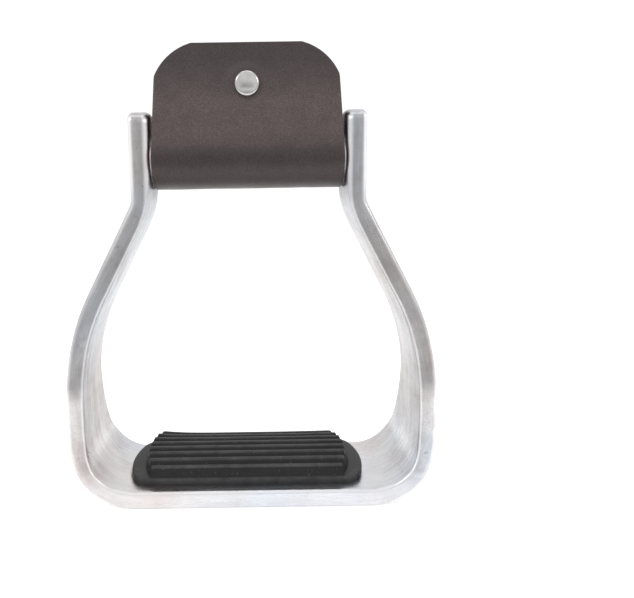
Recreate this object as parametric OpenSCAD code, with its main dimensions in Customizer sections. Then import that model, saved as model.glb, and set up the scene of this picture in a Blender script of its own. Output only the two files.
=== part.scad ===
// Western stirrup: a bell-shaped aluminium frame whose two ears hold a round neck
// bar. A folded leather sleeve, closed by one double-cap rivet, turns on the bar,
// and a ribbed rubber pad is screwed to the tread from below.
// Millimetres. X runs from ear to ear, Y from front to back, Z up. The origin is
// the middle of the tread's underside.

/* [Frame] */
// Widest distance across the outside of the legs
frame_w = 154.8; // [148:0.2:158]
// Height of the frame, underside of the tread to the top of the ears
frame_h = 162.6; // [158:0.2:168]
// Thickness of the metal strip
strip_t = 7.5; // [6:0.1:8]
// Width across the outside of the ears
ears_w = 95.2; // [94.4:0.2:96]
// Height of the widest place on the legs
belly_z = 45.5; // [42:0.5:48]
// Outside radius of the leg above its widest place
upper_r = 93; // [88:1:102]
// Outside radius of the leg below its widest place
lower_r = 160; // [130:2:190]
// Outside radius of the bottom corner
corner_r = 29; // [24:0.5:32]
// Inside radius of the bottom corner
corner_in_r = 19; // [16:0.5:24]
// Lean of the straight part of the leg, from upright, in degrees
lean = 27.5; // [24:0.5:30]
// Outside radius where the leg turns up into the ear
kink_r = 8; // [6:1:14]
// Inside radius where the leg turns up into the ear
kink_in_r = 40; // [24:1:44]
// How far the middle of the ear's inside face stands proud of its edges
ear_crown = 0.8; // [0.6:0.1:1.2]

/* [Depth] */
// Front-to-back depth of the tread
tread_d = 46; // [44:0.2:48]
// Front-to-back depth of the leg where its flare begins
leg_d = 26.6; // [25:0.2:29]
// Front-to-back depth of the ears
ear_d = 24; // [22:0.2:26]
// Radius of the flare from the leg down to the tread, seen from the side
flare_r = 197; // [190:1:240]
// Radius of the domed top of the ear, seen from the side
ear_dome_r = 22.6; // [16:0.2:40]

/* [Neck bar] */
// Radius of the neck bar
bar_r = 9.5; // [8:0.1:10]
// Height of the neck bar's axis
bar_z = 143; // [141.5:0.1:144]
// Depth of the blind socket in each ear, from the ear's inside edges
socket_deep = 3; // [2:0.2:4]

/* [Leather sleeve] */
// Width of the sleeve round the bar
sleeve_w = 77.4; // [74:0.2:78]
// Width of the sleeve where its top corners begin
sleeve_top_w = 75; // [72:0.2:77]
// Thickness of the leather
leather_t = 2.3; // [1.8:0.1:3]
// Height of the sleeve's top edge
sleeve_top = 189.2; // [184:0.2:194]
// Radius of the sleeve's top corners
sleeve_corner_r = 18.5; // [6:0.5:20]

/* [Rivet] */
// Height of the rivet
rivet_z = 172.4; // [168:0.2:175]
// Diameter of the rivet's caps
cap_d = 9.6; // [8:0.2:11]
// Radius of the rivet's stem
stem_r = 1.6; // [1.2:0.1:2]

/* [Tread pad] */
// Length of the pad along the tread
pad_w = 102.6; // [96:0.2:104]
// How far the pad sits to the left of the middle of the tread
pad_left = 2.4; // [0:0.2:3]
// How far the pad sits behind the middle of the tread
pad_y = 1.8; // [0:0.1:3]
// Depth of the pad, front to back
pad_d = 38; // [36:0.2:40]
// Radius of the pad's bulging ends
pad_end_r = 36; // [32:1:60]
// Thickness of the pad's smooth border
border_t = 3; // [2.4:0.1:3.4]
// Thickness of the pad at the crest of its ribs
pad_t = 9.8; // [9:0.1:11]
// Number of ribs
rib_count = 8; // [6:1:8]
// Distance from rib to rib
rib_pitch = 4.7; // [4:0.1:4.9]
// Depth of the valleys between the ribs
rib_deep = 1.8; // [1:0.1:2.2]

/* [Pad screws] */
// Distance between the two screws
screw_gap = 64; // [48:1:68]
// Radius of the screw's shank
screw_r = 2; // [1.5:0.1:2.5]
// Radius of the countersunk head
head_r = 4; // [3.6:0.1:4.6]

/* [Hidden] */
$fn = 120;
eps = 0.01;

// Centres of the arcs along the outside of the leg
side_x = frame_w / 2;
ear_x = ears_w / 2;
upper_c = [side_x - upper_r, belly_z];
lower_c = [side_x - lower_r, belly_z];
corner_x = lower_c.x + sqrt(pow(lower_r - corner_r, 2) - pow(belly_z - corner_r, 2));
corner_c = [corner_x, corner_r];
corner_a = atan2(corner_r - belly_z, corner_x - lower_c.x);
corner_in_z = strip_t + corner_in_r;
corner_in_x = lower_c.x + sqrt(pow(lower_r - corner_in_z, 2) - pow(belly_z - corner_in_z, 2));
corner_in_c = [corner_in_x, corner_in_z];
corner_in_a = atan2(corner_in_z - belly_z, corner_in_x - lower_c.x);
arc_step = 3;

// The straight part of the leg joins the upper arc to the kink below the ear
straight_end = upper_c + upper_r * dir(lean);
straight_len = (straight_end.x - ear_x - kink_r * (1 - cos(lean))) / sin(lean);
kink_z = straight_end.y + straight_len * cos(lean) + kink_r * sin(lean);
kink_c = [ear_x + kink_r, kink_z];

// The inside kink is rounder, so it starts higher up the ear
ear_in = ear_x - strip_t;
kink_in_z = kink_z + (kink_in_r - kink_r - strip_t) * tan(lean / 2);
kink_in_c = [ear_in + kink_in_r, kink_in_z];

// The ear's inside face bulges by ear_crown inside a narrow flat land along its edges
nose_r = 2.5;
crown_x = ear_in - ear_crown;
crown_land = 0.4;
crown_half = ear_d / 2 - crown_land;
crown_r = (pow(crown_half, 2) + pow(ear_crown, 2)) / (2 * ear_crown);
crown_fade = 12;
crown_fade_r = (pow(crown_fade, 2) + pow(ear_crown, 2)) / (2 * ear_crown);
crown_top_r = 4;
crown_top_a = 125;
crown_top_drop = 1;
crown_root = 3;

// Neck bar and its sockets
bar_half = ear_in + socket_deep;
socket_gap = 0.05;

// The sleeve's plies leave the fold on its tangents and meet at the top
running_gap = 0.08;
fold_in_r = bar_r + running_gap;
fold_out_r = fold_in_r + leather_t;
ply_gap = 0.2;
ply_h = sleeve_top - bar_z;
ply_a = asin((fold_in_r - ply_gap) / ply_h);

// Rivet: the caps' rims bear on the leather halfway up the rivet's own height
seat_y = (sleeve_top - rivet_z) * tan(ply_a) + ply_gap + leather_t / cos(ply_a);
cap_r = cap_d / 2;
cap_h = 2.2;
cap_sphere_r = (cap_r * cap_r + cap_h * cap_h) / (2 * cap_h);
cap_wall = 0.45;
flange_t = 0.6;
flange_gap = 0.03;
flange_r = sqrt(pow(cap_sphere_r - cap_wall - flange_gap, 2)
                - pow(cap_sphere_r - cap_h + flange_t, 2));
stem_gap = 0.02;
socket_r = stem_r + 0.6;
stem_tip_y = 4;
socket_tip_y = 2;
hole_gap = 0.1;

// Pad, plate, nuts and screws, from the tread upwards
pad_z = strip_t;
pad_corner_r = 10;
pad_end_x = pad_w / 2 - pad_end_r;
pad_corner_y = pad_d / 2 - pad_corner_r;
pad_corner_x = pad_end_x + sqrt(pow(pad_end_r - pad_corner_r, 2) - pow(pad_corner_y, 2));
pad_corner_a = asin(pad_corner_y / (pad_end_r - pad_corner_r));
end_border = 6.3;
field_w = pad_w - 2 * end_border;
field_end_r = 37;
edge_rib_w = 1.2;
field_d = (rib_count - 1) * rib_pitch + 2 * edge_rib_w;
pad_crown = 2.6;
pad_top_r = (pow(field_d / 2, 2) + pow(pad_crown, 2)) / (2 * pad_crown);
crest_w = 1.1;
valley_w = 0.5;
plate_lift = 1.6;
plate_z = pad_z + plate_lift;
plate_t = 1.2;
plate_past_screw = 8;
plate_w = screw_gap + 2 * plate_past_screw;
plate_d = 20;
nut_flats = 7;
nut_h = 2.6;
screw_short = 0.2;
screw_top = plate_z + plate_t + nut_h - screw_short;
screw_room = 1;
head_h = 2.2;
head_sunk = 0.3;
screw_gap_r = 0.15;
driver_r = 1.3;
driver_deep = 1.4;

// Unit vector at an angle in the XZ plane
function dir(a) = [cos(a), sin(a)];

// Points along an arc, one every arc_step degrees or closer
function arc(c, r, a0, a1) =
    let (n = ceil(abs(a1 - a0) / arc_step))
    [for (i = [0 : n]) c + r * dir(a0 + (a1 - a0) * i / n)];

// The same points in the opposite order
function reversed(points) = [for (i = [len(points) - 1 : -1 : 0]) points[i]];

// The same points on the other side of the middle
function mirrored(points) = [for (p = points) [-p.x, p.y]];

// All the points but the last, where the next arc begins
function up_to_last(points) = [for (i = [0 : len(points) - 2]) points[i]];

// Outside of the right leg, from the tread up to the ear
function outside_line() = concat(
    up_to_last(arc(corner_c, corner_r, -90, corner_a)),
    up_to_last(arc(lower_c, lower_r, corner_a, 0)),
    arc(upper_c, upper_r, 0, lean),
    arc(kink_c, kink_r, 180 + lean, 180)
);

// Inside of the right leg, from the tread up to the ear
function inside_line() = concat(
    up_to_last(arc(corner_in_c, corner_in_r, -90, corner_in_a)),
    up_to_last(arc(lower_c, lower_r - strip_t, corner_in_a, 0)),
    arc(upper_c, upper_r - strip_t, 0, lean),
    arc(kink_in_c, kink_in_r, 180 + lean, 180)
);

// Stands an XZ drawing up and gives it a depth centred on Y
module upright(depth) {
    rotate([90, 0, 0]) linear_extrude(depth, center = true) children();
}

// The strip bent to the bell shape, seen from the front
module strip_outline() {
    nose_c = [ear_in + nose_r, frame_h - nose_r];
    right = concat(
        outside_line(),
        [[ear_x, frame_h]],
        arc(nose_c, nose_r, 90, 180),
        reversed(inside_line())
    );
    polygon(concat(right, reversed(mirrored(right))));
}

// How deep the frame is at each height, seen from the side
module side_outline() {
    flare_z = 75;
    taper_z = 115;
    flare_y = leg_d / 2;
    difference() {
        translate([-tread_d / 2, 0]) square([tread_d, flare_z]);
        for (s = [-1, 1]) {
            translate([s * (flare_y + flare_r), flare_z]) circle(r = flare_r, $fn = 720);
        }
    }
    polygon([[-flare_y, flare_z], [flare_y, flare_z], [ear_d / 2, taper_z],
             [-ear_d / 2, taper_z]]);
    intersection() {
        translate([-ear_d / 2, taper_z]) square([ear_d, frame_h - taper_z]);
        translate([0, frame_h - ear_dome_r]) union() {
            circle(r = ear_dome_r);
            translate([-ear_d, -frame_h]) square([2 * ear_d, frame_h]);
        }
    }
}

// The bulge on the inside face of the right ear, with its root sunk into the ear
module ear_bulge() {
    fade_c = [crown_x + crown_fade_r, kink_in_z + crown_land + crown_fade];
    fade_a = asin((crown_fade + crown_land / 2) / crown_fade_r);
    top_c = [crown_x + crown_top_r, frame_h - crown_top_r - crown_top_drop];
    intersection() {
        upright(ear_d - crown_land) polygon(concat(
            arc(top_c, crown_top_r, crown_top_a, 180),
            arc(fade_c, crown_fade_r, 180, 180 + fade_a),
            [[crown_x + crown_root, kink_in_z + crown_land / 2],
             [crown_x + crown_root, top_c.y + crown_top_r * sin(crown_top_a)]]
        ));
        translate([crown_x + crown_r, 0, kink_in_z - 1]) cylinder(r = crown_r, h = frame_h);
    }
}

// Places its children at both pad screws
module at_screws() {
    for (s = [-1, 1]) translate([s * screw_gap / 2 - pad_left, pad_y, 0]) children();
}

module stirrup_frame() {
    color("silver") difference() {
        intersection() {
            union() {
                upright(2 * tread_d) strip_outline();
                ear_bulge();
                mirror([1, 0, 0]) ear_bulge();
            }
            rotate([90, 0, 90]) linear_extrude(2 * frame_w, center = true) side_outline();
        }
        translate([0, 0, bar_z]) rotate([0, 90, 0]) {
            cylinder(r = bar_r + socket_gap, h = 2 * bar_half, center = true);
        }
        at_screws() {
            translate([0, 0, -1]) cylinder(r = screw_r + screw_gap_r, h = strip_t + 2);
            csk_void();
        }
    }
}

// Countersink in the underside of the tread
module csk_void() {
    sink = head_sunk + 0.1;
    translate([0, 0, -1]) cylinder(r = head_r + 0.15, h = 1 + sink);
    translate([0, 0, sink - eps]) {
        cylinder(r1 = head_r + 0.15, r2 = screw_r + screw_gap_r, h = head_h);
    }
}

module neck_bar() {
    color("lightgray") translate([0, 0, bar_z]) rotate([0, 90, 0]) {
        cylinder(r = bar_r, h = 2 * bar_half - 0.1, center = true);
    }
}

// Filled teardrop round the bar in the YZ plane, up to half a width at the top
module teardrop(fold_r, half_top) {
    tangent = fold_r * dir(ply_a);
    circle(r = fold_r);
    polygon([tangent, [half_top, ply_h], [-half_top, ply_h], [-tangent.x, tangent.y]]);
}

// One leather strip folded round the bar, seen from its end in the YZ plane
module sleeve_section() {
    difference() {
        teardrop(fold_out_r, ply_gap + leather_t / cos(ply_a));
        teardrop(fold_in_r, ply_gap);
    }
}

// The sleeve's front view: its sides lean in above the bar and run into round top corners
module sleeve_face() {
    low = bar_z - fold_out_r - 1;
    half_w = sleeve_w / 2;
    corner = [sleeve_top_w / 2 - sleeve_corner_r, sleeve_top - sleeve_corner_r];
    side_foot = [half_w, bar_z] - corner;
    side_a = atan2(side_foot.y, side_foot.x) + acos(sleeve_corner_r / norm(side_foot));
    right = concat(
        [[half_w, low], [half_w, bar_z]],
        arc(corner, sleeve_corner_r, side_a, 90),
        [[corner.x, sleeve_top + 1]]
    );
    polygon(concat(right, reversed(mirrored(right))));
}

module neck_sleeve() {
    color("#3a2a24") difference() {
        intersection() {
            translate([0, 0, bar_z]) rotate([90, 0, 90]) {
                linear_extrude(sleeve_w, center = true) sleeve_section();
            }
            upright(6 * fold_out_r) sleeve_face();
        }
        translate([0, 0, rivet_z]) rotate([90, 0, 0]) {
            cylinder(r = socket_r + hole_gap, h = 40, center = true);
            for (s = [-1, 1]) translate([0, 0, s * (seat_y + 4)]) {
                cylinder(r = cap_r + hole_gap, h = 8, center = true);
            }
        }
    }
}

// Domed shell of one rivet cap, its rim at the origin and its dome along +Z
module rivet_cap() {
    intersection() {
        translate([0, 0, cap_h - cap_sphere_r]) difference() {
            sphere(r = cap_sphere_r);
            sphere(r = cap_sphere_r - cap_wall);
        }
        cylinder(r = cap_r + 1, h = cap_h + 1);
    }
}

// Places its children at the rivet, with +Z pointing out to the front or the back
module at_rivet(facing) {
    translate([0, facing * seat_y, rivet_z]) rotate([-facing * 90, 0, 0]) children();
}

module rivet_front_cap() {
    color("gainsboro") at_rivet(-1) rivet_cap();
}

module rivet_back_cap() {
    color("gainsboro") at_rivet(1) rivet_cap();
}

// Flanged stem, driven into the socket from the front
module rivet_stem() {
    color("silver") at_rivet(-1) {
        cylinder(r = flange_r, h = flange_t);
        translate([0, 0, -seat_y - stem_tip_y]) {
            cylinder(r = stem_r, h = seat_y + stem_tip_y + eps);
        }
    }
}

// Flanged socket that grips the stem from the back
module rivet_socket() {
    color("silver") at_rivet(1) difference() {
        union() {
            cylinder(r = flange_r, h = flange_t);
            translate([0, 0, -seat_y - socket_tip_y]) {
                cylinder(r = socket_r, h = seat_y + socket_tip_y + eps);
            }
        }
        translate([0, 0, -seat_y - socket_tip_y - 1]) {
            cylinder(r = stem_r + stem_gap, h = 1 + socket_tip_y + stem_tip_y + 0.4);
        }
    }
}

// Plan of the pad's border, whose bulging ends run into its round corners
module border_plan() {
    corner_at = [pad_corner_x, pad_corner_y];
    right = concat(
        up_to_last(arc([corner_at.x, -corner_at.y], pad_corner_r, -90, -pad_corner_a)),
        up_to_last(arc([pad_end_x, 0], pad_end_r, -pad_corner_a, pad_corner_a)),
        arc(corner_at, pad_corner_r, pad_corner_a, 90)
    );
    polygon(concat(right, reversed(mirrored(right))));
}

// Plan of the ribbed field, whose two ends are round
module field_plan() {
    intersection() {
        square([field_w, field_d], center = true);
        translate([field_end_r - field_w / 2, 0]) circle(r = field_end_r);
    }
    intersection() {
        square([field_w, field_d], center = true);
        translate([field_w / 2 - field_end_r, 0]) circle(r = field_end_r);
    }
    square([field_w - 2 * field_end_r, field_d], center = true);
}

// The ribbed field's crowned section in the YZ plane, with a valley between ribs
module field_section() {
    first = -(rib_count - 2) / 2 * rib_pitch;
    slope_w = (rib_pitch - crest_w) / 2;
    difference() {
        intersection() {
            translate([-field_d / 2, 0]) square([field_d, pad_t]);
            translate([0, pad_t - pad_top_r]) circle(r = pad_top_r, $fn = 360);
        }
        for (i = [0 : rib_count - 2]) {
            y = first + i * rib_pitch;
            crest = pad_t - pad_top_r + sqrt(pad_top_r * pad_top_r - y * y);
            polygon([[y - valley_w / 2, crest - rib_deep], [y + valley_w / 2, crest - rib_deep],
                     [y + slope_w, crest + 0.2], [y - slope_w, crest + 0.2]]);
        }
    }
}

// What the pad's two ends lose where the metal starts to rise into the corners
module corner_relief() {
    lead = 0.3;
    past_end = 1;
    clear = 0.03;
    end_x = max(pad_w / 2 + pad_left + past_end, corner_in_x);
    lift = pow(end_x - corner_in_x, 2) / (2 * corner_in_r) + clear;
    for (side = [0, 1]) mirror([side, 0, 0]) upright(2 * tread_d) {
        polygon([[corner_in_x - lead, pad_z - 1], [corner_in_x - lead, pad_z],
                 [end_x, pad_z + lift], [end_x, pad_z - 1]]);
    }
}

module tread_pad() {
    color("#2b2b2d") difference() {
        translate([-pad_left, pad_y, pad_z]) union() {
            linear_extrude(border_t) border_plan();
            intersection() {
                linear_extrude(pad_t + 1) field_plan();
                rotate([90, 0, 90]) linear_extrude(pad_w, center = true) field_section();
            }
        }
        corner_relief();
        plate_blank();
        at_screws() {
            nut_blank();
            translate([0, 0, pad_z - 1]) {
                cylinder(r = screw_r + screw_gap_r, h = 1 + screw_top - pad_z + screw_room);
            }
        }
    }
}

// Steel plate moulded inside the pad
module plate_blank() {
    end_r = plate_d / 2;
    translate([-pad_left, pad_y, plate_z]) linear_extrude(plate_t) {
        square([plate_w - plate_d, plate_d], center = true);
        for (s = [-1, 1]) translate([s * (plate_w / 2 - end_r), 0]) circle(r = end_r);
    }
}

module pad_plate() {
    color("darkgray") difference() {
        plate_blank();
        at_screws() translate([0, 0, plate_z - 1]) {
            cylinder(r = screw_r + screw_gap_r, h = plate_t + 2);
        }
    }
}

// Hexagonal nut welded on top of the plate
module nut_blank() {
    translate([0, 0, plate_z + plate_t]) {
        cylinder(r = nut_flats / 2 / cos(30), h = nut_h, $fn = 6);
    }
}

module pad_nuts() {
    color("gray") at_screws() difference() {
        nut_blank();
        translate([0, 0, plate_z]) cylinder(r = screw_r + 0.02, h = plate_t + nut_h + 1);
    }
}

// Countersunk screws with a hexagonal drive, put in from below
module pad_screws() {
    color("dimgray") at_screws() difference() {
        union() {
            translate([0, 0, head_sunk]) {
                cylinder(r1 = head_r, r2 = screw_r, h = head_h);
            }
            translate([0, 0, head_sunk + eps]) {
                cylinder(r = screw_r, h = screw_top - head_sunk - eps);
            }
        }
        translate([0, 0, head_sunk - 1]) cylinder(r = driver_r, h = 1 + driver_deep, $fn = 6);
    }
}

stirrup_frame();
neck_bar();
neck_sleeve();
rivet_front_cap();
rivet_stem();
rivet_socket();
rivet_back_cap();
tread_pad();
pad_plate();
pad_nuts();
pad_screws();
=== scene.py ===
import math
import bmesh
import bpy
import numpy as np
from mathutils import Matrix, Vector, noise


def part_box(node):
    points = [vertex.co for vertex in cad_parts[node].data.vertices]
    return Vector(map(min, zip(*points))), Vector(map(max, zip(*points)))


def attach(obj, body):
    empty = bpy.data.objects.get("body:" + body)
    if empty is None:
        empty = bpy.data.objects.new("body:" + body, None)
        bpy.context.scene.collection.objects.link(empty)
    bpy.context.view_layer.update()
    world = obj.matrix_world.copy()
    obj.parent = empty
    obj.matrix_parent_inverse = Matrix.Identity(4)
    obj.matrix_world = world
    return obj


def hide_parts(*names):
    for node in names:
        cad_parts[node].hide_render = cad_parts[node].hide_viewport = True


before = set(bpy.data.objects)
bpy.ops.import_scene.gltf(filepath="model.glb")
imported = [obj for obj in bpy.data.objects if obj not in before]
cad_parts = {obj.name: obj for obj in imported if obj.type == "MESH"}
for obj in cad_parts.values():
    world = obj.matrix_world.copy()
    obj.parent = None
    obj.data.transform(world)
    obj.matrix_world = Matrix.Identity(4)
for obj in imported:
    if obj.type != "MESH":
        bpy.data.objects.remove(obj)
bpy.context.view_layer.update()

# A Western stirrup. X runs from ear to ear, Y from front to back, Z up, and the origin is the
# middle of the tread's underside. The shapes are in millimetres until mesh_object turns them
# into Blender's metres, and angles are in degrees. Bumps, lamps and the camera are in metres.
MM = 0.001


def box_mm(node):
    """Lowest and highest corner of a CAD node, in millimetres."""
    low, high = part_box(node)
    return low / MM, high / MM


# Metal strip. Its outside runs along the tread, round the bottom corner, up the lower and the
# upper arc of the leg, straight on at the lean, and round the kink into the upright ear.
_, frame_high = box_mm("stirrup_frame")
side_x = frame_high.x
frame_h = frame_high.z
tread_half = frame_high.y
strip_t = 7.5
ear_x = 47.6
belly_z = 45.5
upper_r = 93
lower_r = 160
corner_r = 29
corner_in_r = 19
lean = 27.5
kink_r = 8
kink_in_r = 40
upper_c = Vector((side_x - upper_r, belly_z))
lower_c = Vector((side_x - lower_r, belly_z))
# Half of its depth from front to back. Below flare_z an arc widens it to the tread's depth,
# and from there up to taper_z it narrows from the legs' depth to the ears'.
ear_half = 12
leg_half = 13.3
flare_r = 197
flare_z = 75
taper_z = 115
# Its inside face bulges by crown on the legs and ears, on all but crown_land of its width,
# and the bulge grows over crown_fade above the corner. Then the radii of its long edges.
crown = 0.8
crown_land = 0.4
crown_fade = 16
leg_crown_power = 2
ear_crown_power = 8
outer_edge_r = 2.2
inner_edge_r = 1.3
ear_edge_r = 2.2
# The ears' domed tops, and the edge round them, which is rounder on the inside face
ear_dome_r = 22.6
top_edge_r = 1.3
nose_r = 2.5
ear_top_h = 12
ear_top_rises = (0.35, 0.65, 0.88, 1)
# Steps of the rounded edges, and places across a flat face as shares of its half width
round_steps = 6
face_shares = (0, 0.2, 0.4, 0.6, 0.8, 0.95)

# Neck bar, leather sleeve and rivet
bar_low, bar_high = box_mm("neck_bar")
bar_z = (bar_low.z + bar_high.z) / 2
_, sleeve_high = box_mm("neck_sleeve")
sleeve_half = sleeve_high.x
sleeve_top = sleeve_high.z
leather_t = 2.3
ply_gap = 0.2
sleeve_top_half = 37.4
sleeve_corner_r = 22.7
sleeve_corner_w = 15
sleeve_corner_h = 13.5
cut_edge_r = 0.45
# Waves in the leather: (height, size across, size along, offset between the two patterns)
leather_waves = ((0.14, 19, 23, 0), (0.05, 5, 6, 3))
wave_fade = 30
# The flat seats that the rivet's caps press into the leather
seat_r = 9.5
seat_fade = 5
seat_lift = 0.1
cap_low, cap_high = box_mm("rivet_front_cap")
rivet_z = (cap_low.z + cap_high.z) / 2
cap_r = cap_high.x
cap_h = cap_high.y - cap_low.y
seat_y = -cap_high.y
shoulder_r = 1.5
shoulder_out = 0.65
dish = 0.45
rim_roll = 0.3
cap_sink = 0.5

# Rubber pad: a flat border whose ends bulge, and a raised field of ribs
pad_low, pad_high = box_mm("tread_pad")
pad_mid = (pad_low + pad_high) / 2
pad_half = (pad_high - pad_low) / 2
pad_z = pad_low.z
pad_t = pad_high.z - pad_low.z
pad_corner_r = 8.5
pad_end_r = 40
pad_end_x = pad_half.x - pad_end_r
corner_reach = pad_end_r - pad_corner_r
pad_corner_y = pad_half.y - pad_corner_r
pad_corner_x = pad_end_x + math.sqrt(corner_reach**2 - pad_corner_y**2)
border_t = 3
border_edge_r = 0.8
rib_count = 8
rib_pitch = 4.7
rib_deep = 1.8
crest_w = 1.1
valley_w = 0.5
rib_slope = (rib_pitch - crest_w - valley_w) / 2
field_end_gap = 6.3
field_side = 1.2
field_half = Vector((pad_half.x - field_end_gap, (rib_count - 1) * rib_pitch / 2 + field_side))
field_end_r = 37
pad_edge_drop = 2.6
# The back ribs rise towards the ends: by all of back_rise on the left, less on the right
back_rise = 1.9
back_rise_middle = 0.6
back_rise_tilt = 0.4
# The field's walls: their slope and least width at the ends, the width of those along the
# long sides, how far each foot lies outside the field, and the widths of the flat strips next
# to a wall
wall_slope = 3.2
least_wall = 0.15
side_wall = 0.6
side_foot = 0.7
end_foot = 0.4
strip_by_wall = 0.5
least_border = 0.4
least_shelf = 0.05
# Places across a rounded edge of the border, and across the wall of a long side
edge_shares = (0, 0.08, 0.3, 0.6, 1)
wall_places = (0.75, 0.6, 0.2, 0)

# Holes in the strip
screw_x = 32
screw_hole_r = 2.15
sink_r = 4.15
sink_deep = 0.4
sink_cone_h = 2.2
socket_x = 43.1
socket_gap = 0.05
cut_past = 5


def direction(angle):
    """Unit vector at an angle in the XZ plane."""
    return Vector((math.cos(math.radians(angle)), math.sin(math.radians(angle))))


def smooth(x):
    """0 below 0, 1 above 1 and a smooth step between."""
    x = min(max(x, 0), 1)
    return x * x * (3 - 2 * x)


def mesh_object(name, points, faces, sharp=35):
    """A new object from points in millimetres, with its faces turned outwards."""
    mesh = bpy.data.meshes.new(name)
    mesh.from_pydata([Vector(p) * MM for p in points], [], faces)
    shell = bmesh.new()
    shell.from_mesh(mesh)
    bmesh.ops.recalc_face_normals(shell, faces=shell.faces)
    shell.to_mesh(mesh)
    shell.free()
    mesh.shade_smooth()
    mesh.set_sharp_from_angle(angle=math.radians(sharp))
    obj = bpy.data.objects.new(name, mesh)
    bpy.context.collection.objects.link(obj)
    return obj


def bake_modifiers(obj):
    """Makes the result of an object's modifiers its own mesh."""
    graph = bpy.context.evaluated_depsgraph_get()
    mesh = bpy.data.meshes.new_from_object(obj.evaluated_get(graph))
    obj.modifiers.clear()
    obj.data = mesh


def lathe(profile, place=Matrix(), steps=72):
    """Closed surface of revolution about +Z from (radius, height) points that start and end on
    the axis."""
    points = []
    rings = []
    for radius, height in profile:
        count = steps if radius else 1
        start = len(points)
        rings.append([start + i % count for i in range(steps)])
        for i in range(count):
            across = radius * direction(360 * i / steps)
            points.append(place @ Vector((across.x, across.y, height)))
    faces = []
    for low, high in zip(rings, rings[1:]):
        for i in range(steps):
            j = (i + 1) % steps
            faces.append(list(dict.fromkeys([low[i], low[j], high[j], high[i]])))
    return points, faces


def join(shapes):
    """Several (points, faces) as one."""
    points = []
    faces = []
    for more_points, more_faces in shapes:
        start = len(points)
        points += more_points
        faces += [[start + i for i in face] for face in more_faces]
    return points, faces


# ---------------------------------------------------------------- materials

# Numbers of a Mix node's two inputs and its output, because their names are shared
mix_sockets = {"FLOAT": (2, 3, 0), "RGBA": (6, 7, 2)}


def rgba(colour):
    """A shader colour from a grey value, or from red, green and blue."""
    if isinstance(colour, (int, float)):
        colour = (colour, colour, colour)
    return (*colour, 1)


def new_material(name):
    """A node material and its node tree."""
    material = bpy.data.materials.new(name)
    material.use_nodes = True
    return material, material.node_tree


def add(tree, kind, **values):
    """A new node, with values for its sockets and its settings."""
    node = tree.nodes.new(kind)
    for key, value in values.items():
        if key in node.inputs:
            node.inputs[key].default_value = value
        else:
            setattr(node, key, value)
    return node


def feed(tree, value, socket):
    """Links a socket to value if that is a node's output, and sets it to value if not."""
    if isinstance(value, bpy.types.NodeSocket):
        tree.links.new(value, socket)
    else:
        socket.default_value = value


def set_surface(tree, values):
    """Feeds the sockets of a material's Principled shader."""
    shader = tree.nodes["Principled BSDF"]
    for name, value in values.items():
        feed(tree, value, shader.inputs[name])


def attribute(tree, name):
    """The outputs of a node that reads an attribute of the mesh."""
    return add(tree, "ShaderNodeAttribute", attribute_name=name).outputs


def object_place(tree):
    """The shaded point in the object's own coordinates, in metres."""
    return add(tree, "ShaderNodeTexCoord").outputs["Object"]


def axes(tree, place):
    """The X, Y and Z of a place."""
    node = add(tree, "ShaderNodeSeparateXYZ")
    tree.links.new(place, node.inputs["Vector"])
    return node.outputs


def stretched(tree, place, scale):
    """A place with each of its coordinates scaled."""
    node = add(tree, "ShaderNodeMapping", Scale=scale)
    tree.links.new(place, node.inputs["Vector"])
    return node.outputs["Vector"]


def texture(tree, place, kind="ShaderNodeTexNoise", **values):
    """The first output of a texture at a place: a noise's factor or a cell's distance."""
    node = add(tree, kind, **values)
    tree.links.new(place, node.inputs["Vector"])
    return node.outputs[0]


def calculate(tree, operation, *values):
    """The result of a Math node."""
    node = add(tree, "ShaderNodeMath", operation=operation)
    for value, socket in zip(values, node.inputs):
        tree.links.new(value, socket)
    return node.outputs[0]


def remap(tree, value, source=(0, 1), target=(0, 1), shape="LINEAR"):
    """value taken from one range to another, and kept inside it."""
    node = add(tree, "ShaderNodeMapRange", interpolation_type=shape)
    names = ("From Min", "From Max", "To Min", "To Max")
    for name, limit in zip(names, (*source, *target)):
        node.inputs[name].default_value = limit
    tree.links.new(value, node.inputs["Value"])
    return node.outputs["Result"]


def ramp(tree, value, stops):
    """A colour ramp fed by value, from (position, colour or grey value) stops."""
    node = add(tree, "ShaderNodeValToRGB")
    elements = node.color_ramp.elements
    for element, (position, colour) in zip(elements[:], (stops[0], stops[-1])):
        element.position = position
        element.color = rgba(colour)
    for position, colour in stops[1:-1]:
        elements.new(position).color = rgba(colour)
    tree.links.new(value, node.inputs["Fac"])
    return node.outputs["Color"]


def mix(tree, amount, first, second, kind="RGBA", blend="MIX"):
    """Two values mixed. All three can be a node's output or a plain value."""
    node = add(tree, "ShaderNodeMix", data_type=kind, blend_type=blend)
    first_socket, second_socket, result = mix_sockets[kind]
    feed(tree, amount, node.inputs["Factor"])
    feed(tree, first, node.inputs[first_socket])
    feed(tree, second, node.inputs[second_socket])
    return node.outputs[result]


def bumps(tree, layers):
    """Bump nodes in a chain, one for each (height, strength, distance in metres)."""
    normal = None
    for height, strength, distance in layers:
        node = add(tree, "ShaderNodeBump", Strength=strength, Distance=distance)
        tree.links.new(height, node.inputs["Height"])
        if normal:
            tree.links.new(normal, node.inputs["Normal"])
        normal = node.outputs["Normal"]
    return normal


# Painted reflections along the strip's length, from the middle of the tread at 0 to the ears at
# 1: lighter on the lower legs, darker on the upper legs and the ears. The inside values are
#    painted
# shade that darkens the legs' inside faces most low down. They come on top of the outside ones,
# on the legs only.
painted_light_length = 200
painted_reflection_outside = [(0, 1.03), (0.26, 1.03), (0.36, 0.88), (0.45, 1.22), (0.51, 1.30),
                  (0.54, 0.73), (1, 0.67)]
painted_shade_inside = [(0, 1), (0.36, 0.78), (0.45, 0.49), (0.51, 0.43), (0.54, 0.78),
                 (0.70, 0.98), (1, 1.08)]
# Where the legs start along the strip, and where the inside face starts through it
legs_from = (52, 78)
inside_from = (0.9 * strip_t, strip_t)
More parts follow.
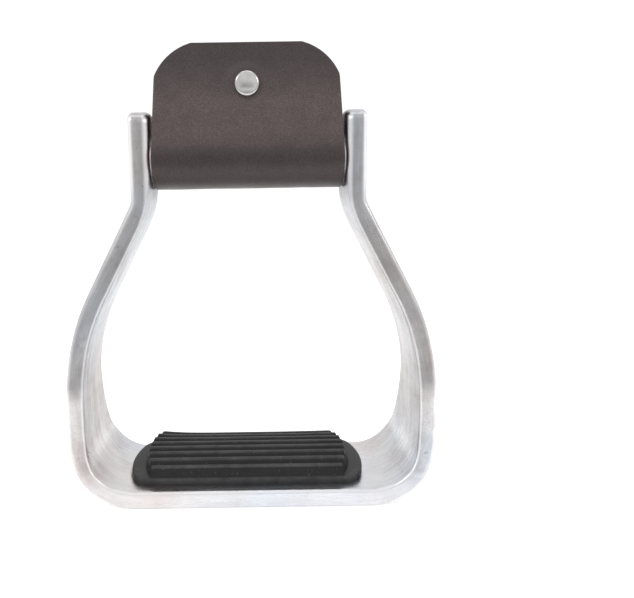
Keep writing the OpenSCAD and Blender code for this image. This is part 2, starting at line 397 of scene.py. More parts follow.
# How much of the legs' stains and pits the tread has
tread_share = 0.35
# Painted highlights along the long edges, a light colour mixed into the metal: their colour,
# their roughness, and how strong they are
edge_highlight_colour = (0.93, 0.92, 0.93)
edge_roughness = 0.55
leg_edge_highlight = 0.22
ear_edge_highlight = 0.80
inner_edge_highlight = 0.36
edge_highlight_fade = 0.6


def strip_aluminium():
    """Polished cast aluminium: broad and fine polishing streaks along the strip, faint tints,
    small dark pits and a softly uneven surface. Painted reflections and shade along the strip
    darken the ears, the upper legs and the legs' inside faces and lighten the lower legs, and
    painted highlights lie along the long edges."""
    material, tree = new_material("strip_aluminium")
    strip = attribute(tree, "strip")["Vector"]

    def streaks(length_scale, width_scale, detail):
        place = stretched(tree, strip, (length_scale, width_scale, width_scale))
        return texture(tree, place, Scale=1, Detail=detail, Roughness=0.6)

    broad = streaks(length_scale=0.030, width_scale=0.42, detail=4)
    fine = streaks(length_scale=0.09, width_scale=2.6, detail=3)
    along, _, inset = axes(tree, strip)
    from_middle = calculate(tree, "ABSOLUTE", along)
    legs = remap(tree, from_middle, legs_from)
    inside_legs = calculate(tree, "MULTIPLY", legs, remap(tree, inset, inside_from))
    # Place along the strip for the painted reflections and the painted shade
    painted_light_place = remap(tree, from_middle, (0, painted_light_length))
    legs_more = remap(tree, legs, target=(tread_share, 1))

    place = object_place(tree)
    clouds = texture(tree, place, Scale=42, Detail=3, Roughness=0.55)
    tint = texture(tree, place, Scale=17, Detail=2, Roughness=0.5)
    stain = texture(tree, place, Scale=85, Detail=6, Roughness=0.62)
    pits = texture(tree, place, Scale=420, Detail=3, Roughness=0.65)
    colour = ramp(tree, tint, [
        (0.34, (0.665, 0.622, 0.612)),
        (0.50, (0.690, 0.678, 0.684)),
        (0.66, (0.630, 0.655, 0.700)),
    ])
    # The first two layers are painted reflections and painted shade along the strip. Stains,
    # polishing streaks and pits follow.
    for layer, amount in (
        (ramp(tree, painted_light_place, painted_reflection_outside), 1),
        (ramp(tree, painted_light_place, painted_shade_inside), inside_legs),
        (ramp(tree, stain, [(0.34, (0.80, 0.77, 0.77)), (0.56, 1)]), legs_more),
        (ramp(tree, broad, [(0.30, 0.84), (0.56, 1)]), legs_more),
        (ramp(tree, fine, [(0.28, 0.90), (0.60, 1)]), 1),
        (ramp(tree, pits, [(0.29, 0.7), (0.35, 1)]), legs_more),
    ):
        colour = mix(tree, amount, colour, layer, blend="MULTIPLY")
    # Painted highlights along the long edges: a light colour and a rougher finish, mixed in by
    # the edge attribute
    edge = attribute(tree, "edge")["Fac"]
    roughness = remap(tree, broad, target=(0.42, 0.16))
    set_surface(tree, {
        "Metallic": 1,
        "Base Color": mix(tree, edge, colour, rgba(edge_highlight_colour)),
        "Roughness": mix(tree, edge, roughness, edge_roughness, kind="FLOAT"),
        "Normal": bumps(tree, [
            (clouds, 0.40, 0.0012),
            (broad, 0.20, 0.0003),
            (fine, 0.30, 0.00014),
            (pits, 0.20, 0.00010),
        ]),
    })
    return material


# Turned metals: how much larger than their marks the smudges are and how much darker than
# the metal, and between which shares of its roughness the marks vary it
smudge_size = 9
smudge_tone = 0.8
mark_shares = (0.7, 1.4)


def turned_metal(name, colour, roughness, grain):
    """Plain bright metal with fine handling marks, for the small parts and the bar."""
    material, tree = new_material(name)
    place = object_place(tree)
    marks = texture(tree, place, Scale=grain, Detail=4, Roughness=0.65)
    smudge = texture(tree, place, Scale=grain / smudge_size, Detail=2, Roughness=0.5)
    dark = [smudge_tone * part for part in colour]
    set_surface(tree, {
        "Metallic": 1,
        "Base Color": ramp(tree, smudge, [(0.35, dark), (0.6, colour)]),
        "Roughness": remap(tree, marks, target=[share * roughness for share in mark_shares]),
        "Normal": bumps(tree, [(marks, 0.12, 0.00006)]),
    })
    return material


def grain_leather():
    """Dark brown leather, finished side out: pores, fine creases and soft mottling, with painted
    light and shade by height: lighter halfway up the plies, darker in the crease above the bar
    and near the top edges.
    """
    material, tree = new_material("grain_leather")
    place = object_place(tree)
    cells = "ShaderNodeTexVoronoi"
    pores = texture(tree, place, cells, Scale=1900, Randomness=1)
    creases = texture(tree, place, cells, feature="DISTANCE_TO_EDGE", Scale=1100)
    mottle = texture(tree, place, Scale=130, Detail=5, Roughness=0.65)
    speckle = texture(tree, place, Scale=1900, Detail=3, Roughness=0.7)
    colour = ramp(tree, mottle, [
        (0.30, (0.059, 0.0400, 0.0395)),
        (0.50, (0.070, 0.0480, 0.0475)),
        (0.72, (0.081, 0.0560, 0.0550)),
    ])
    dots = ramp(tree, speckle, [(0.35, 0.62), (0.68, 1.5)])
    # Painted light and shade by height: lighter halfway up the plies, darker in the crease above
    # the bar and near the top edges
    painted_light_and_shade = ramp(tree, attribute(tree, "wear_and_painted_light")["Fac"], [(0, 0.36), (1, 1)])
    for layer in (dots, painted_light_and_shade):
        colour = mix(tree, 1, colour, layer, blend="MULTIPLY")
    set_surface(tree, {
        "Specular IOR Level": 0.42,
        "Sheen Weight": 0.08,
        "Base Color": colour,
        "Roughness": remap(tree, mottle, target=(0.34, 0.56)),
        "Normal": bumps(tree, [
            (mottle, 0.20, 0.0002),
            (creases, 0.40, 0.00012),
            (pores, 0.40, 0.00010),
        ]),
    })
    return material


def raw_leather(name, dark, light, grain):
    """Undyed or cut leather: short matted fibres with no gloss."""
    material, tree = new_material(name)
    place = stretched(tree, object_place(tree), (1, 2.4, 0.7))
    fibres = texture(tree, place, Scale=grain, Detail=6, Roughness=0.75, Distortion=1.2)
    set_surface(tree, {
        "Specular IOR Level": 0.2,
        "Roughness": 0.9,
        "Sheen Weight": 0.15,
        "Base Color": ramp(tree, fibres, [(0.35, dark), (0.68, light)]),
        "Normal": bumps(tree, [(fibres, 0.8, 0.0004)]),
    })
    return material


# How worn each part of the pad is, from black in the valleys to grey
worn_underside = 0.5
worn_wall = 0.15
worn_border = 0.62
worn_crest = 0.9
worn_outer_rib = 0.8


def pad_rubber():
    """Moulded black rubber: worn grey crests, a dusty border and black valleys."""
    material, tree = new_material("pad_rubber")
    place = object_place(tree)
    dust = texture(tree, place, Scale=160, Detail=6, Roughness=0.68)
    specks = texture(tree, place, Scale=1500, Detail=2, Roughness=0.5)
    tone = ramp(tree, attribute(tree, "worn")["Fac"], [
        (0.0, 0.0028),
        (0.5, (0.014, 0.0137, 0.0145)),
        (0.7, (0.041, 0.0400, 0.0420)),
        (1.0, (0.031, 0.0305, 0.0320)),
    ])
    film = ramp(tree, dust, [(0.35, 0.7), (0.70, 1.6)])
    lint = ramp(tree, specks, [(0.70, 0), (0.74, 0.09)])
    dusty = mix(tree, 1, tone, film, blend="MULTIPLY")
    set_surface(tree, {
        "Specular IOR Level": 0.30,
        "Base Color": mix(tree, 1, dusty, lint, blend="ADD"),
        "Roughness": remap(tree, dust, target=(0.40, 0.68)),
        "Normal": bumps(tree, [(dust, 0.30, 0.0003), (specks, 0.30, 0.00008)]),
    })
    return material


# ---------------------------------------------------------------- metal frame


def corner_at(height):
    """Centre at a height of a bottom corner's arc that touches the lower arc of the leg, and
    the angle at which they meet."""
    reach = lower_r - height
    rise = belly_z - height
    centre = Vector((lower_c.x + math.sqrt(reach**2 - rise**2), height))
    return centre, -math.degrees(math.asin(rise / reach))


def arc(radius, start, end, centre, steps, inwards=-1):
    """(point, direction into the metal) along an arc, without its last point."""
    stations = []
    for i in range(steps):
        out = direction(start + (end - start) * i / steps)
        stations.append((centre + radius * out, inwards * out))
    return stations


def inside_line(kink_z):
    """Points along the inside of the right half of the strip, from the tread up to the ear."""
    inside_x = ear_x - strip_t
    corner_c, corner_a = corner_at(strip_t + corner_in_r)
    higher = (kink_in_r - kink_r - strip_t) * math.tan(math.radians(lean / 2))
    kink_c = Vector((inside_x + kink_in_r, kink_z + higher))
    arcs = arc(corner_in_r, -90, corner_a, corner_c, steps=60)
    arcs += arc(lower_r - strip_t, corner_a, 0, lower_c, steps=20)
    arcs += arc(upper_r - strip_t, 0, lean, upper_c, steps=30)
    arcs += arc(kink_in_r, 180 + lean, 180, kink_c, steps=30)
    line = [Vector((0, strip_t))] + [point for point, _ in arcs]
    return line + [Vector((inside_x, kink_c.y)), Vector((inside_x, frame_h))]


def thickness_at(point, inward, line):
    """How far the inside line lies from an outside point, straight through the metal."""
    along = Vector((-inward.y, inward.x))
    for a, b in zip(line, line[1:]):
        side_a = (a - point).dot(along)
        side_b = (b - point).dot(along)
        if side_a * side_b <= 0 and side_a != side_b:
            crossing = a + (b - a) * side_a / (side_a - side_b)
            depth = (crossing - point).dot(inward)
            if 0 < depth < 2 * strip_t:
                return depth
    return strip_t


def strip_stations():
    """The right half of the strip from the middle of the tread up to the plain part of the ear,
    as (outside point, inward direction, thickness, crown, ear) with the last two from 0 to 1."""
    corner_c, corner_a = corner_at(corner_r)
    straight_start = upper_c + upper_r * direction(lean)
    turn = math.radians(lean)
    straight = (straight_start.x - ear_x - kink_r * (1 - math.cos(turn))) / math.sin(turn)
    kink_z = straight_start.y + straight * math.cos(turn) + kink_r * math.sin(turn)
    kink_c = Vector((ear_x + kink_r, kink_z))

    base = []
    tread_steps = 10
    for i in range(tread_steps):
        base.append((Vector((corner_c.x * i / tread_steps, 0)), Vector((0, 1))))
    base += arc(corner_r, -90, corner_a, corner_c, steps=26)
    leg = arc(lower_r, corner_a, 0, lower_c, steps=10)
    leg += arc(upper_r, 0, lean, upper_c, steps=16)
    straight_steps = 8
    for i in range(straight_steps):
        point = straight_start + direction(lean + 90) * straight * i / straight_steps
        leg.append((point, -direction(lean)))
    leg += arc(kink_r, 180 + lean, 180, kink_c, steps=8, inwards=1)
    ear_low = frame_h - ear_top_h
    ear_steps = 6
    for i in range(ear_steps + 1):
        z = kink_z + (ear_low - kink_z) * i / ear_steps
        leg.append((Vector((ear_x, z)), Vector((-1, 0))))

    line = inside_line(kink_z)
    stations = []
    for point, inward in base:
        stations.append((point, inward, thickness_at(point, inward, line), 0, 0))
    foot = leg[0][0]
    for point, inward in leg:
        thickness = thickness_at(point, inward, line)
        crown_part = min((point - foot).length / crown_fade, 1)
        ear_part = smooth((point.y - kink_z + kink_r) / (2 * kink_r))
        stations.append((point, inward, thickness, crown_part, ear_part))
    return stations


def half_depth(z):
    """Half of the strip's front-to-back depth at a height."""
    if z < flare_z:
        out = leg_half + flare_r - math.sqrt(flare_r**2 - (flare_z - z)**2)
        return min(tread_half, out)
    return max(ear_half, leg_half + (ear_half - leg_half) * (z - flare_z) / (taper_z - flare_z))


def half_profile(half, edge_r):
    """(depth, drop, angle) from the middle of a face out over its rounded edge."""
    flat = half - edge_r
    profile = [(flat * share, 0, 0) for share in face_shares]
    for i in range(round_steps + 1):
        angle = 90 * i / round_steps
        turn = direction(angle)
        profile.append((flat + edge_r * turn.y, edge_r * (1 - turn.x), angle))
    return profile


def inner_radius(ear_part):
    """Radius of the inside face's edges: larger on the ears than on the legs."""
    return inner_edge_r + (ear_edge_r - inner_edge_r) * ear_part


def section(half, thickness, crown_part, ear_part):
    """One closed section as (depth, inset, depth direction, inset direction, radius at the
    ear's top), the outside face first. The two directions point into the metal."""
    outer = []
    inner = []
    crown_half = half - crown_land
    for depth, drop, angle in half_profile(half, outer_edge_r):
        turn = direction(angle)
        outer.append((depth, drop, -turn.y, turn.x, top_edge_r))
    for depth, drop, angle in half_profile(half, inner_radius(ear_part)):
        turn = direction(angle)
        out = min(depth / crown_half, 1)
        leg_bulge = (1 - ear_part) * (1 - out**leg_crown_power)
        ear_bulge = ear_part * (1 - out**ear_crown_power)
        bulge = crown * crown_part * (leg_bulge + ear_bulge)
        top_r = top_edge_r + (nose_r - top_edge_r) * turn.x
        inner.append((depth, thickness + bulge - drop, -turn.y, -turn.x, top_r))

    def both_sides(points):
        left = []
        for depth, inset, depth_in, inset_in, top_r in reversed(points[1:]):
            left.append((-depth, inset, -depth_in, inset_in, top_r))
        return left + points

    return both_sides(outer) + both_sides(inner)[::-1]


def dome_z(depth):
    """Height of the ear's domed top at a distance in front of or behind its middle."""
    return frame_h - ear_dome_r + math.sqrt(ear_dome_r**2 - depth**2)


def strip_rows():
    """Closed rows of points from the middle of the tread up over the right ear's top."""
    rows = []
    for point, inward, thickness, crown_part, ear_part in strip_stations():
        row = []
        half = half_depth(point.y + inward.y * thickness / 2)
        for depth, inset, *_ in section(half, thickness, crown_part, ear_part):
            spot = point + inward * inset
            row.append(Vector((spot.x, depth, spot.y)))
        rows.append(row)
    ear = section(ear_half, strip_t, 1, 1)
    low = frame_h - ear_top_h
    for rise in ear_top_rises:
        row = []
        for depth, inset, _, _, top_r in ear:
            z = low + rise * (dome_z(depth) - top_r - low)
            row.append(Vector((ear_x - inset, depth, z)))
        rows.append(row)
    for i in range(1, round_steps + 1):
        turn = direction(90 * i / round_steps)
        row = []
        for depth, inset, depth_in, inset_in, top_r in ear:
            pull = top_r * (1 - turn.x)
            inner_depth = depth + depth_in * pull
            z = dome_z(inner_depth) - top_r * (1 - turn.y)
            row.append(Vector((ear_x - inset - inset_in * pull, inner_depth, z)))
        rows.append(row)
    return rows


def strip_hole_cutter():
    """Both countersunk screw holes and both blind sockets of the bar."""
    shapes = []
    below = -cut_past
    above = strip_t + cut_past
    sink = [(0, below), (sink_r, below), (sink_r, sink_deep),
            (screw_hole_r, sink_deep + sink_cone_h), (screw_hole_r, above), (0, above)]
    for side in (-1, 1):
        place = Matrix.Translation((side * screw_x + pad_mid.x, pad_mid.y, 0))
        shapes.append(lathe(sink, place))
    bar_r = bar_high.y + socket_gap
    bar = [(0, -socket_x), (bar_r, -socket_x), (bar_r, socket_x), (0, socket_x)]
    across = Matrix.Translation((0, 0, bar_z)) @ Matrix.Rotation(math.pi / 2, 4, "Y")
    shapes.append(lathe(bar, across))
    return mesh_object("hole_cutter", *join(shapes))


def vertex_places(mesh):
    """The vertices as an array of (x, y, z) in millimetres."""
    place = np.zeros(len(mesh.vertices) * 3)
    mesh.vertices.foreach_get("co", place)
    return place.reshape(-1, 3) / MM


def store(mesh, name, kind, key, values):
    """Stores values at the vertices, where a material reads them by name."""
    mesh.attributes.new(name, kind, "POINT").data.foreach_set(key, values)


def add_strip_coordinates(mesh):
    """Stores (distance along the strip, depth, inset) at each vertex for the polishing lines and
    the painted reflections and shade, and how strong a painted highlight is where it lies round a
    long edge, most on the ears' outside."""
    stations = strip_stations()
    points = np.array([station[0] for station in stations])
    inwards = np.array([station[1] for station in stations])
    middles = points + inwards * strip_t / 2
    steps = np.linalg.norm(np.diff(middles, axis=0), axis=1)
    lengths = np.concatenate([[0], np.cumsum(steps)])
    tangents = np.stack([inwards[:, 1], -inwards[:, 0]], axis=1)
    place = vertex_places(mesh)
    flat = np.stack([np.abs(place[:, 0]), place[:, 2]], axis=1)
    away = np.linalg.norm(flat[:, None] - middles[None], axis=2)
    near = away.argmin(axis=1)
    offset = flat - points[near]
    along = lengths[near] + (offset * tangents[near]).sum(axis=1)
    inset = (offset * inwards[near]).sum(axis=1)
    stored = np.stack([along * np.sign(place[:, 0]), place[:, 1], inset], axis=1)
    store(mesh, "strip", "FLOAT_VECTOR", "vector", stored.ravel())
    # How strong the painted highlight is round each long edge: strongest on the ears' outside
    edges = []
    for station, deep, depth in zip(near, inset, place[:, 1]):
        _, _, thickness, _, ear_part = stations[station]
        edge_r = outer_edge_r
        wear_and_painted_light = leg_edge_highlight + (ear_edge_highlight - leg_edge_highlight) * ear_part
        if deep > thickness / 2:
            deep = max(thickness - deep, 0)
            edge_r = inner_radius(ear_part)
            wear_and_painted_light = inner_edge_highlight
        from_face = half_depth(middles[station][1]) - abs(depth)
        round_edge = 1 - max(from_face, deep) / edge_r
        edges.append(wear_and_painted_light * smooth(round_edge / edge_highlight_fade))
    store(mesh, "edge", "FLOAT", "value", edges)


def build_strip():
    """The bell-shaped metal frame with crowned legs and rounded edges."""
    right = strip_rows()
    left = [[Vector((-p.x, p.y, p.z)) for p in row] for row in right[:0:-1]]
    rows = left + right
    count = len(rows[0])
    points = [point for row in rows for point in row]
    faces = []
    last = (len(rows) - 1) * count
    for start in range(0, last, count):
        for i in range(count):
            j = (i + 1) % count
            faces.append([start + i, start + j, start + count + j, start + count + i])
    for start in (0, last):
        for i in range(count // 2 - 1):
            far = count - 1 - i
            faces.append([start + i, start + i + 1, start + far - 1, start + far])
    obj = mesh_object("strip_metal", points, faces)
    cutter = strip_hole_cutter()
    holes = obj.modifiers.new("holes", "BOOLEAN")
    holes.object = cutter
    holes.solver = "EXACT"
    bake_modifiers(obj)
    bpy.data.objects.remove(cutter)
    add_strip_coordinates(obj.data)
    obj.data.materials.append(strip_aluminium())
    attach(obj, "frame")
    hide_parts("stirrup_frame")


# ---------------------------------------------------------------- leather sleeve


def sleeve_line():
    """The leather's middle line in the YZ plane, from the front ply's top edge down round the
    bar and up to the back ply's: its length, and a function that gives the point and the
    outward direction at a distance along it."""
    fold_out = sleeve_high.y
    fold_in = fold_out - leather_t
    fold_mid = fold_out - leather_t / 2
    ply_h = sleeve_top - bar_z
    ply_a = math.degrees(math.asin((fold_in - ply_gap) / ply_h))
    ply_len = (ply_h - fold_mid * math.sin(math.radians(ply_a))) / math.cos(math.radians(ply_a))
    fold_len = fold_mid * math.radians(180 + 2 * ply_a)
    centre = Vector((0, bar_z))
    total = 2 * ply_len + fold_len

    def at(length):
        from_top = min(length, total - length)
        side = -1 if length < total / 2 else 1
        if from_top < ply_len:
            out = direction(ply_a)
            up = direction(ply_a + 90)
            point = fold_mid * out + up * (ply_len - from_top)
        else:
            out = direction(ply_a - math.degrees((from_top - ply_len) / fold_mid))
            point = fold_mid * out
        return centre + Vector((side * point.x, point.y)), Vector((side * out.x, out.y))

    return total, at


def sleeve_half_at(z):
    """Half of the sleeve's width at a height: its sides lean in above the bar, and its top
    corners are cut to flat arcs that meet the sides and the top at a slight angle."""
    side_end = Vector((sleeve_top_half, sleeve_top - sleeve_corner_h))
    if z > side_end.y:
        top_end = Vector((sleeve_top_half - sleeve_corner_w, sleeve_top))
        chord = top_end - side_end
        across = Vector((-chord.y, chord.x)).normalized()
        away = math.sqrt(sleeve_corner_r**2 - (chord.length / 2)**2)
        centre = (side_end + top_end) / 2 + across * away
        return centre.x + math.sqrt(sleeve_corner_r**2 - (min(z, sleeve_top) - centre.y)**2)
    share = max(z - bar_z, 0) / (side_end.y - bar_z)
    return sleeve_half + (side_end.x - sleeve_half) * share


def sleeve_lengths(total):
    """Places along the strip's length: close together in the corners, then even."""
    corner_steps = 12
    start = [sleeve_corner_h * i / corner_steps for i in range(corner_steps)]
    even_steps = 90
    even = total - 2 * sleeve_corner_h
    middle = [sleeve_corner_h + even * i / even_steps for i in range(even_steps + 1)]
    return start + middle + [total - s for s in reversed(start)]


def add_leather_painted_light(mesh):
    """Stores painted light and shade at each vertex by its height above the bar: lightest halfway
    up the plies, darkest in the crease where the plies run into the fold, and dark near the top
    edges."""
    above_bar = (-12, -4, -0.5, 2.5, 6, 10, 22, 32, 39, 46)
    painted_light_and_shade = (0.25, 0.25, 0, 0.12, 0.7, 1, 0.95, 0.5, 0.15, 0.1)
    wear_and_painted_light = np.interp(vertex_places(mesh)[:, 2] - bar_z, above_bar, painted_light_and_shade)
    store(mesh, "wear_and_painted_light", "FLOAT", "value", wear_and_painted_light)


def build_sleeve():
    """One strip of leather folded round the bar, with cut edges and a seat under each cap."""
    total, at = sleeve_line()
    across_steps = 64
    points = []
    lengths = sleeve_lengths(total)
    for length in lengths:
        point, out = at(length)
        from_end = min(length, total - length)
        half = sleeve_half_at(point.y)
        side = math.copysign(1, length - total / 2)
        for i in range(across_steps + 1):
            x = half * (2 * i / across_steps - 1)
            spot = Vector((x, point.x, point.y))
            push = 0
            for height, wide, long, offset in leather_waves:
                push += height * noise.noise(Vector((x / wide, length / long, side + offset)))
            spot += Vector((0, out.x, out.y)) * push * smooth(from_end / wave_fade)
            from_rivet = math.hypot(x, spot.z - rivet_z)
            seat = side * (seat_y - leather_t / 2 + seat_lift)
            spot.y += (seat - spot.y) * smooth((seat_r - from_rivet) / seat_fade)
            points.append(spot)
    faces = []
    row = across_steps + 1
    for r in range(len(lengths) - 1):
        for i in range(across_steps):
            start = r * row + i
            faces.append([start, start + 1, start + row + 1, start + row])
    obj = mesh_object("sleeve_leather_strip", points, faces, sharp=180)
    shell = obj.modifiers.new("thickness", "SOLIDIFY")
    shell.thickness = leather_t * MM
    shell.offset = 0
    shell.use_even_offset = True
    shell.material_offset = 1
    shell.material_offset_rim = 2
    edge = obj.modifiers.new("cut_edge", "BEVEL")
    edge.width = cut_edge_r * MM
    edge.segments = 3
    edge.limit_method = "ANGLE"
    edge.angle_limit = math.radians(60)
    for material in (
        grain_leather(),
        raw_leather("flesh_side", (0.020, 0.010, 0.007), (0.085, 0.040, 0.026), grain=900),
        raw_leather("cut_edge", (0.045, 0.017, 0.011), (0.23, 0.075, 0.045), grain=1400),
    ):
        obj.data.materials.append(material)
    bake_modifiers(obj)
    # Painted light and shade on the leather, by height
    add_leather_painted_light(obj.data)
    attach(obj, "sleeve")
    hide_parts("neck_sleeve")


# ---------------------------------------------------------------- rivet


def cap_profile():
    """The flattish domed cap with its round shoulder and its rim rolled under, as (radius,
    height) from the top down."""
    flat_r = cap_r - shoulder_r + shoulder_out
    profile = []
    dome_steps = 10
    for i in range(dome_steps):
        radius = flat_r * i / dome_steps
        profile.append((radius, cap_h - dish * (radius / flat_r)**2))
    start = math.atan(2 * dish / flat_r)
    span = 90 - math.degrees(start)
    shoulder_steps = 10
    for i in range(shoulder_steps + 1):
        turn = direction(span - span * i / shoulder_steps)
        radius = flat_r + shoulder_r * (turn.x - math.sin(start))
        height = cap_h - dish - shoulder_r * (math.cos(start) - turn.y)
        profile.append((radius, height))
    rim = profile[-1]
    return profile + [(rim[0] - rim_roll, -cap_sink), (0, -cap_sink)]


def build_caps():
    """The rivet's two domed caps, on the front and on the back of the sleeve."""
    nickel = turned_metal("polished_nickel", (0.53, 0.52, 0.51), roughness=0.20, grain=1600)
    for name, facing in (("front", -1), ("back", 1)):
        place = Matrix.Translation((0, facing * seat_y, rivet_z))
        place @= Matrix.Rotation(-facing * math.pi / 2, 4, "X")
        obj = mesh_object(f"rivet_dome_{name}", *lathe(cap_profile(), place))
        obj.data.materials.append(nickel)
        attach(obj, "sleeve")
        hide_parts(f"rivet_{name}_cap")


# ---------------------------------------------------------------- rubber pad


def pad_edge_gap(x, y):
    """Distance inside the outline of the pad's border, whose ends bulge."""
    over = Vector((abs(x) - pad_corner_x, abs(y) - pad_corner_y))
    corner_slope = pad_corner_y / (pad_corner_x - pad_end_x)
    if over.x > 0 and over.y > over.x * corner_slope:
        return pad_corner_r - over.length
    return min(pad_half.y - abs(y), pad_end_r - math.hypot(abs(x) - pad_end_x, y))


def rib_share(y):
    """1 on a rib's crest, 0 in a valley, and straight slopes between. An even number of ribs
    has a valley in the middle."""
    phase = (y / rib_pitch + (rib_count % 2 + 1) / 2) % 1
    from_crest = min(phase, 1 - phase) * rib_pitch
    return 1 - min(max((from_crest - crest_w / 2) / rib_slope, 0), 1)


def pad_top(x, y):
    """Height of the ribbed field above the tread, before its ends are cut."""
    crown_r = (field_half.y**2 + pad_edge_drop**2) / (2 * pad_edge_drop)
    top = pad_t - crown_r + math.sqrt(crown_r**2 - min(abs(y), field_half.y)**2)
    inside = abs(y) < field_half.y - crest_w
    share = rib_share(y) if inside else 1
    out = x / field_half.x
    rise = back_rise * out**4 * smooth(y / pad_half.y) * (back_rise_middle - back_rise_tilt * out)
    return top - rib_deep * (1 - share) + rise


def pad_depths():
    """Places from the pad's front edge to its back edge where its surface changes."""
    outer = [pad_half.y - border_edge_r * share for share in edge_shares]
    outer += [field_half.y + place for place in wall_places]
    ribs = []
    half_crest = crest_w / 2
    half_valley = valley_w / 2
    half_slope = half_valley + rib_slope / 2
    for i in range(rib_count):
        crest = (i - (rib_count - 1) / 2) * rib_pitch
        for offset in (-half_crest, -half_crest / 2, 0, half_crest / 2, half_crest):
            ribs.append(crest + offset)
        if i < rib_count - 1:
            valley = crest + rib_pitch / 2
            for offset in (-half_slope, -half_valley, 0, half_valley, half_slope):
                ribs.append(valley + offset)
    return sorted([-y for y in outer] + ribs + outer)


def pad_row(y):
    """One row across the pad as (x, height, worn) from left to right."""
    corner_start = pad_corner_y * pad_end_r / corner_reach
    if abs(y) < corner_start:
        edge_x = pad_end_x + math.sqrt(pad_end_r**2 - y**2)
    else:
        over = abs(y) - pad_corner_y
        edge_x = pad_corner_x + math.sqrt(max(pad_corner_r**2 - over**2, 0))
    field_y = min(abs(y), field_half.y)
    end_x = field_half.x - field_end_r + math.sqrt(field_end_r**2 - field_y**2) + end_foot
    wall_y = smooth((field_half.y + side_foot - abs(y)) / side_wall)
    top = border_t + (pad_top(0, y) - border_t) * wall_y
    wall_w = max((top - border_t) / wall_slope, least_wall)
    shelf_x = min(end_x + strip_by_wall, edge_x - border_edge_r - least_border)
    foot_x = min(end_x, shelf_x - least_shelf)
    right = [edge_x - border_edge_r * share for share in edge_shares]
    right += [(right[-1] + shelf_x) / 2, shelf_x, foot_x]
    right += [foot_x - wall_w / 2, foot_x - wall_w, foot_x - wall_w - strip_by_wall]
    inner_steps = 14
    last = right[-1]
    right += [last * (1 - i / inner_steps) for i in range(1, inner_steps)]
    row = []
    for x in [-place for place in right] + [0] + right[::-1]:
        rim = border_t
        from_round = border_edge_r - pad_edge_gap(x, y)
        if from_round > 0:
            rim -= border_edge_r - math.sqrt(max(border_edge_r**2 - from_round**2, 0))
        up = min(max((foot_x - abs(x)) / wall_w, 0), 1) * wall_y
        on_top = up > 0.99
        worn = worn_border
        if on_top and abs(y) < field_half.y - crest_w:
            worn = worn_crest * rib_share(y)**3
        elif on_top and abs(y) <= field_half.y:
            worn = worn_outer_rib
        elif up > 0:
            worn = worn_wall
        row.append((x, rim + (pad_top(x, y) - rim) * up, worn))
    return row


def build_pad():
    """The ribbed rubber pad: rounded border, sloping walls and eight ribs on a crowned field."""
    depths = pad_depths()
    rows = [pad_row(y) for y in depths]
    count = len(rows[0])
    points = []
    worn = []
    for y, row in zip(depths, rows):
        for x, height, wear_and_painted_light in row:
            points.append(Vector((x + pad_mid.x, y + pad_mid.y, pad_z + height)))
            worn.append(wear_and_painted_light)
    faces = []
    last = len(rows) - 1
    for r in range(last):
        for i in range(count - 1):
            start = r * count + i
            faces.append([start, start + 1, start + count + 1, start + count])
    rim = list(range(count))
    rim += [r * count + count - 1 for r in range(1, last + 1)]
    rim += [last * count + i for i in range(count - 2, -1, -1)]
    rim += [r * count for r in range(last - 1, 0, -1)]
    foot = len(points)
    for i in rim:
        points.append(Vector((points[i].x, points[i].y, pad_z)))
        worn.append(worn_underside)
    for i, top in enumerate(rim):
        j = (i + 1) % len(rim)
        faces.append([top, foot + i, foot + j, rim[j]])
    faces.append([foot + i for i in range(len(rim))])
    obj = mesh_object("pad_ribbed_rubber", points, faces, sharp=50)
    store(obj.data, "worn", "FLOAT", "value", worn)
    obj.data.materials.append(pad_rubber())
    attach(obj, "frame")
    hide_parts("tread_pad")


# ---------------------------------------------------------------- carried-over parts


def finish_cad_nodes():
    """Better materials for the CAD parts that are shown as they are."""
    finishes = {
        # name, colour, roughness, scale of the marks
        "neck_bar": turned_metal("bar_aluminium_turned", (0.72, 0.72, 0.73), 0.34, 700),
        "rivet_stem": turned_metal("rivet_steel_plain", (0.55, 0.54, 0.53), 0.36, 1500),
        "pad_plate": turned_metal("plate_zinc", (0.50, 0.52, 0.55), 0.45, 500),
        "pad_screws": turned_metal("screw_zinc", (0.56, 0.56, 0.58), 0.32, 1200),
    }
    finishes["rivet_socket"] = finishes["rivet_stem"]
    finishes["pad_nuts"] = finishes["pad_plate"]
    for node, material in finishes.items():
        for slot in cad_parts[node].material_slots:
            slot.material = material


# ---------------------------------------------------------------- stage, in metres

# The floor, and along Y where its grey band fades to white: near the stirrup and far from it
floor_reach = 4
band_near = (-0.38, -0.165)
band_far = (-0.80, -1.40)
# The room's walls, and between which values of a direction's Y, X and Z their tones change
walls_front = (0.45, 0.44, 0.445)
walls_behind = (0.78, 0.77, 0.77)
walls_bright = 1.05
turn_behind = (-0.1, 0.5)
turn_sides = (0.23, 0.34)
turn_above = (0.07, 0.24)
backdrop_strength = 1.05

softboxes = (
    # name, place, target, size, power in watts
    ("softbox_left", (-0.75, -0.45, 0.75), (0, 0, 0.09), 0.35, 2.0),
    ("softbox_right", (0.80, -0.35, 0.60), (0, 0, 0.09), 0.35, 1.3),
    ("softbox_top", (0, 0.25, 1.1), (0, 0, 0), 0.8, 1.5),
)

# The camera as fitted to the photograph
camera_place = (0, -0.233, 0.1263)
camera_pitch = 7.82
camera_roll = -0.85
camera_lens = 31.0
camera_shift = (0.1062, -0.038)


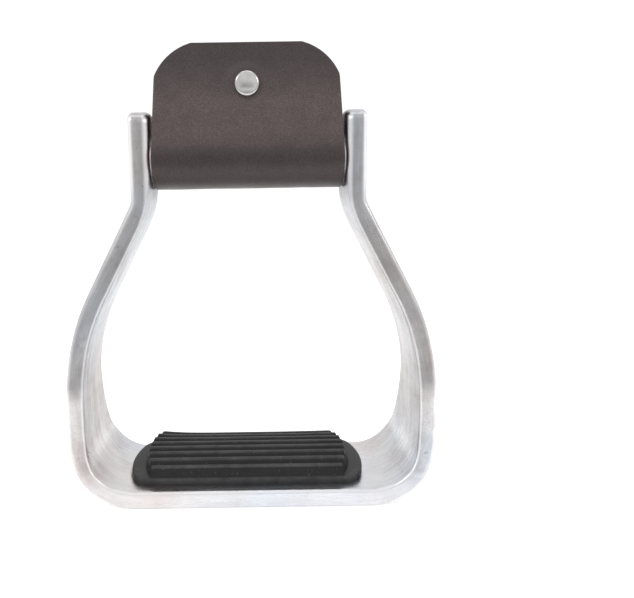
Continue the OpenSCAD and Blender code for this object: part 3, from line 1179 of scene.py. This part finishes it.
def build_floor():
    """White paper, with a soft grey band across it well in front of the stirrup for the metal
    to mirror."""
    # Millimetres, as in every mesh, and just below the tread
    half = floor_reach / MM
    z = -0.05
    corners = [(-half, -half, z), (half, -half, z), (half, half, z), (-half, half, z)]
    floor = mesh_object("studio_floor", corners, [(0, 1, 2, 3)])
    material, tree = new_material("studio_white")
    _, y, _ = axes(tree, object_place(tree))
    near = remap(tree, y, band_near, shape="SMOOTHSTEP")
    far = remap(tree, y, band_far, shape="SMOOTHSTEP")
    paper = calculate(tree, "MAXIMUM", near, far)
    set_surface(tree, {
        "Base Color": ramp(tree, paper, [(0, 0.42), (1, 0.95)]),
        "Roughness": 0.9,
        "Specular IOR Level": 0,
        "Emission Color": rgba(1),
        "Emission Strength": remap(tree, paper, target=(0, 0.30)),
    })
    floor.data.materials.append(material)


def build_world():
    """A bright room: the backdrop is white, and the walls that the metal mirrors are grey in
    front, lighter behind and lightest at the sides and overhead."""
    world = bpy.data.worlds.new("studio")
    bpy.context.scene.world = world
    world.use_nodes = True
    tree = world.node_tree
    tree.nodes.clear()
    across, back, up = axes(tree, add(tree, "ShaderNodeTexCoord").outputs["Generated"])
    behind = remap(tree, back, turn_behind)
    low_walls = mix(tree, behind, rgba(walls_front), rgba(walls_behind))
    sides = remap(tree, calculate(tree, "ABSOLUTE", across), turn_sides)
    bright = calculate(tree, "MAXIMUM", sides, remap(tree, up, turn_above))
    walls = mix(tree, bright, low_walls, rgba(walls_bright))
    room = add(tree, "ShaderNodeBackground")
    tree.links.new(walls, room.inputs["Color"])
    backdrop = add(tree, "ShaderNodeBackground", Color=rgba(1), Strength=backdrop_strength)
    rays = add(tree, "ShaderNodeLightPath")
    seen = add(tree, "ShaderNodeMixShader")
    tree.links.new(rays.outputs["Is Camera Ray"], seen.inputs["Fac"])
    tree.links.new(room.outputs["Background"], seen.inputs[1])
    tree.links.new(backdrop.outputs["Background"], seen.inputs[2])
    out = add(tree, "ShaderNodeOutputWorld")
    tree.links.new(seen.outputs["Shader"], out.inputs["Surface"])


def add_softbox(name, place, target, size, power):
    """A square area light that faces target."""
    lamp = bpy.data.lights.new(name, "AREA")
    lamp.size = size
    lamp.energy = power
    obj = bpy.data.objects.new(name, lamp)
    obj.location = place
    obj.rotation_euler = (Vector(target) - Vector(place)).to_track_quat("-Z", "Y").to_euler()
    bpy.context.collection.objects.link(obj)


def build_camera():
    """The photograph's view: level with the upper legs, tipped down and rolled a little."""
    camera = bpy.data.cameras.new("camera")
    camera.lens = camera_lens
    camera.sensor_width = 36
    camera.shift_x, camera.shift_y = camera_shift
    camera.clip_start = 0.01
    obj = bpy.data.objects.new("camera", camera)
    bpy.context.collection.objects.link(obj)
    place = Matrix.Translation(camera_place)
    tip = Matrix.Rotation(math.radians(90 - camera_pitch), 4, "X")
    roll = Matrix.Rotation(math.radians(camera_roll), 4, "Z")
    obj.matrix_world = place @ tip @ roll
    bpy.context.scene.camera = obj


build_camera()
build_world()
build_floor()
for softbox in softboxes:
    add_softbox(*softbox)
bpy.context.scene.view_settings.view_transform = "Standard"
build_strip()
build_sleeve()
build_caps()
build_pad()
finish_cad_nodes()
